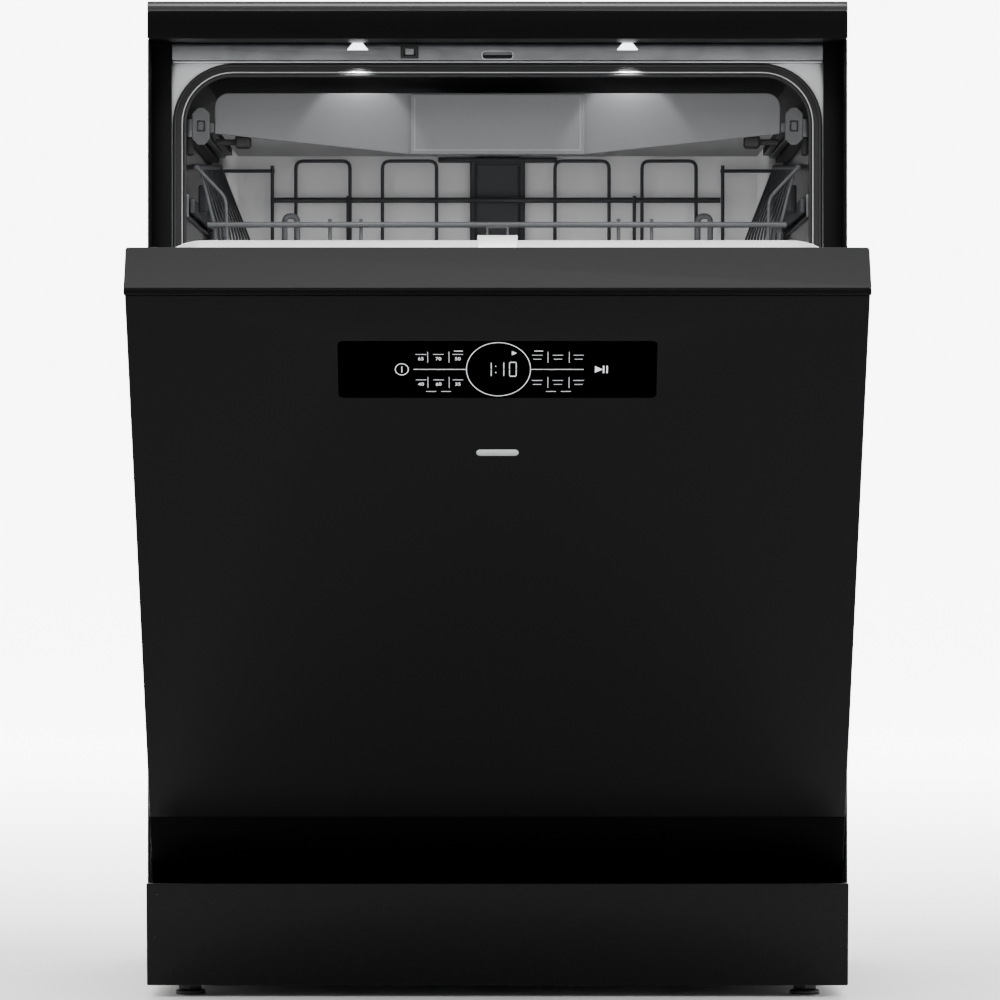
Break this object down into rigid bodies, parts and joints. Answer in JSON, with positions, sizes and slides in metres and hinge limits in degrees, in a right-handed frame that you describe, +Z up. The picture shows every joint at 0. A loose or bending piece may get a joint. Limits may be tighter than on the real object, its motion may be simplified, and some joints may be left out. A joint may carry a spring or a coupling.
{
  "type": "dishwasher",
  "caption": "Free-standing dishwasher in black with a half-open glass-fronted drop-down door, steel tub, sliding wire racks, cutlery drawer and spray arms.",
  "frame": {"origin": "on the floor under the middle of the object with its door half open, as it stands in the rest pose", "axes": "+X to the right seen from the front, +Y towards the rear wall, +Z up"},
  "size_m": [0.598, 1.054, 0.85],
  "materials": {
    "black_paint": "semi-gloss, fine orange peel",
    "black_glass": "high gloss, opaque black",
    "dark_plastic": "fine moulded texture",
    "black_plastic": "fine moulded texture",
    "grey_plastic": "fine moulded texture",
    "light_plastic": "satin",
    "white_plastic": "satin",
    "stainless": "fine brushed",
    "zinc_steel": "zinc plated, satin",
    "rubber": "matte",
    "coated_wire": "powder coated, satin",
    "lens": "milky, lit"
  },
  "bodies": {
    "cabinet": {"worktop": "black_paint", "side_panel_right": "black_paint", "side_panel_left": "black_paint", "rear_panel": "zinc_steel", "base_tray": "black_plastic", "foot_front_right": "dark_plastic", "foot_front_left": "dark_plastic", "foot_rear_right": "dark_plastic", "foot_rear_left": "dark_plastic", "plinth": "black_paint", "tub": "stainless", "tub_gasket": "rubber", "top_cross_rail": "zinc_steel", "door_sensor": "black_plastic", "led_lens_left": "lens", "led_lens_right": "lens", "latch_catch": "black_plastic", "sump": "black_plastic", "circulation_pump": "grey_plastic", "drain_pump": "grey_plastic", "water_softener": "white_plastic", "inlet_valve": "white_plastic", "power_inlet": "black_plastic", "water_duct": "dark_plastic", "filter_plate": "stainless", "drawer_rail_right": "zinc_steel", "drawer_rail_left": "zinc_steel", "hinge_bracket_right": "zinc_steel", "hinge_bracket_left": "zinc_steel"},
    "door": {"door_glass": "black_glass", "control_window": "black_glass", "door_top_strip": "dark_plastic", "door_kick": "black_paint", "door_housing": "dark_plastic", "door_liner": "stainless", "door_latch": "zinc_steel", "dispenser_body": "grey_plastic"},
    "dispenser_lid": {"dispenser_lid": "grey_plastic"},
    "rinse_aid_cap": {"rinse_aid_cap": "dark_plastic"},
    "upper_rack": {"upper_rack": "coated_wire", "upper_spray_pipe": "dark_plastic"},
    "upper_spray_arm": {"upper_spray_arm": "dark_plastic"},
    "cutlery_drawer": {"drawer_tray": "coated_wire", "drawer_front": "light_plastic", "drawer_rim": "coated_wire", "drawer_runner_right": "grey_plastic", "drawer_runner_left": "grey_plastic"},
    "drawer_slide_right": {"drawer_slide_right": "zinc_steel"},
    "drawer_slide_left": {"drawer_slide_left": "zinc_steel"},
    "lower_rack": {"lower_rack": "coated_wire", "cutlery_basket": "grey_plastic"},
    "plate_tines": {"plate_tines": "coated_wire"},
    "rack_wheel_front_right": {"rack_wheel_front_right": "grey_plastic"},
    "rack_wheel_front_left": {"rack_wheel_front_left": "grey_plastic"},
    "rack_wheel_rear_right": {"rack_wheel_rear_right": "grey_plastic"},
    "rack_wheel_rear_left": {"rack_wheel_rear_left": "grey_plastic"},
    "lower_spray_arm": {"lower_spray_arm": "dark_plastic"},
    "ceiling_spray_arm": {"ceiling_spray_arm": "dark_plastic"},
    "filter_cylinder": {"filter_cylinder": "grey_plastic"},
    "salt_cap": {"salt_cap": "dark_plastic"}
  },
  "joints": [
    {"name": "door_hinge", "type": "hinge", "parent": "cabinet", "child": "door", "pos_m": [0, -0.02995, 0.1535], "axis": [1, 0, 0], "range_deg": [-45, 45]},
    {"name": "dispenser_lid_hinge", "type": "hinge", "parent": "door", "child": "dispenser_lid", "pos_m": [0, -0.21932, 0.39774], "axis": [-1, 0, 0], "range_deg": [0, 100]},
    {"name": "rinse_aid_cap_turn", "type": "hinge", "parent": "door", "child": "rinse_aid_cap", "pos_m": [0.092, -0.25884, 0.43373], "axis": [0, 0.7071, 0.7071], "range_deg": [0, 90]},
    {"name": "upper_rack_slide", "type": "slide", "parent": "cabinet", "child": "upper_rack", "axis": [0, -1, 0], "range_m": [0, 0.34]},
    {"name": "upper_spray_arm_spin", "type": "hinge", "parent": "upper_rack", "child": "upper_spray_arm", "pos_m": [0, 0.24905, 0.537], "axis": [0, 0, 1], "continuous": true},
    {"name": "cutlery_drawer_slide", "type": "slide", "parent": "cabinet", "child": "cutlery_drawer", "axis": [0, -1, 0], "range_m": [0, 0.42]},
    {"name": "drawer_slide_right_travel", "type": "slide", "parent": "cabinet", "child": "drawer_slide_right", "axis": [0, -1, 0], "range_m": [0, 0.21]},
    {"name": "drawer_slide_left_travel", "type": "slide", "parent": "cabinet", "child": "drawer_slide_left", "axis": [0, -1, 0], "range_m": [0, 0.21]},
    {"name": "lower_rack_roll", "type": "slide", "parent": "cabinet", "child": "lower_rack", "axis": [0, -1, 0], "range_m": [0, 0.035]},
    {"name": "plate_tines_fold", "type": "hinge", "parent": "lower_rack", "child": "plate_tines", "pos_m": [-0.12, 0.23705, 0.221], "axis": [0, -1, 0], "range_deg": [0, 80]},
    {"name": "rack_wheel_front_right_turn", "type": "hinge", "parent": "lower_rack", "child": "rack_wheel_front_right", "pos_m": [0.2485, 0.07905, 0.2002], "axis": [1, 0, 0], "range_deg": [-10, 140]},
    {"name": "rack_wheel_front_left_turn", "type": "hinge", "parent": "lower_rack", "child": "rack_wheel_front_left", "pos_m": [-0.2485, 0.07905, 0.2002], "axis": [1, 0, 0], "range_deg": [-10, 140]},
    {"name": "rack_wheel_rear_right_turn", "type": "hinge", "parent": "lower_rack", "child": "rack_wheel_rear_right", "pos_m": [0.2485, 0.41905, 0.2002], "axis": [1, 0, 0], "range_deg": [-10, 140]},
    {"name": "rack_wheel_rear_left_turn", "type": "hinge", "parent": "lower_rack", "child": "rack_wheel_rear_left", "pos_m": [-0.2485, 0.41905, 0.2002], "axis": [1, 0, 0], "range_deg": [-10, 140]},
    {"name": "lower_spray_arm_spin", "type": "hinge", "parent": "cabinet", "child": "lower_spray_arm", "pos_m": [0, 0.25905, 0.198], "axis": [0, 0, 1], "continuous": true},
    {"name": "ceiling_spray_arm_spin", "type": "hinge", "parent": "cabinet", "child": "ceiling_spray_arm", "pos_m": [0, 0.25905, 0.781], "axis": [0, 0, 1], "continuous": true},
    {"name": "filter_cylinder_twist", "type": "hinge", "parent": "cabinet", "child": "filter_cylinder", "pos_m": [0.075, 0.22905, 0.17], "axis": [0, 0, 1], "range_deg": [0, 60]},
    {"name": "salt_cap_turn", "type": "hinge", "parent": "cabinet", "child": "salt_cap", "pos_m": [0.165, 0.41905, 0.174], "axis": [0, 0, 1], "continuous": true}
  ],
  "couplings": [
    {"joint": "drawer_slide_right_travel", "follows": "cutlery_drawer_slide", "ratio": 0.5},
    {"joint": "drawer_slide_left_travel", "follows": "cutlery_drawer_slide", "ratio": 0.5},
    {"joint": "rack_wheel_front_right_turn", "follows": "lower_rack_roll", "rad_per_m": 62.5},
    {"joint": "rack_wheel_front_left_turn", "follows": "lower_rack_roll", "rad_per_m": 62.5},
    {"joint": "rack_wheel_rear_right_turn", "follows": "lower_rack_roll", "rad_per_m": 62.5},
    {"joint": "rack_wheel_rear_left_turn", "follows": "lower_rack_roll", "rad_per_m": 62.5}
  ]
}
